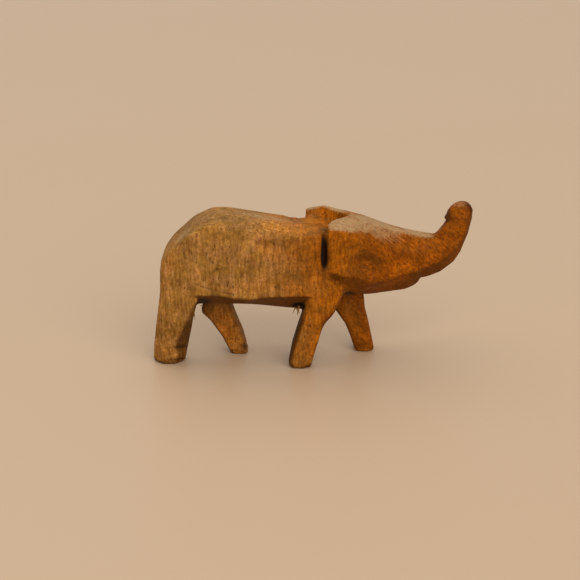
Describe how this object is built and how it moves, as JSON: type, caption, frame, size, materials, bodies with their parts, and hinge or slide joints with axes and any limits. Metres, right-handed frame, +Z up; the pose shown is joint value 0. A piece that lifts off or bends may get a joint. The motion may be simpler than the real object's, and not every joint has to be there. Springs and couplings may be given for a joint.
{
  "type": "carved wooden elephant",
  "caption": "Small whittled wooden elephant figurine, striding with its trunk raised, head turned slightly to its left, standing on flat soles.",
  "frame": {"origin": "under the middle of the carving's box, at the height of the soles", "axes": "+X towards the trunk, +Y to the elephant's left, +Z up"},
  "size_m": [0.0602, 0.0142, 0.0288],
  "materials": {
    "carved_wood": "hand-carved, waxed, worn satin"
  },
  "bodies": {
    "root": {"torso": "carved_wood", "chest": "carved_wood", "neck": "carved_wood", "head": "carved_wood", "left_ear": "carved_wood", "right_ear": "carved_wood", "trunk": "carved_wood", "lower_jaw": "carved_wood", "front_left_leg": "carved_wood", "front_right_leg": "carved_wood", "rear_left_leg": "carved_wood", "rear_right_leg": "carved_wood"}
  },
  "joints": []
}
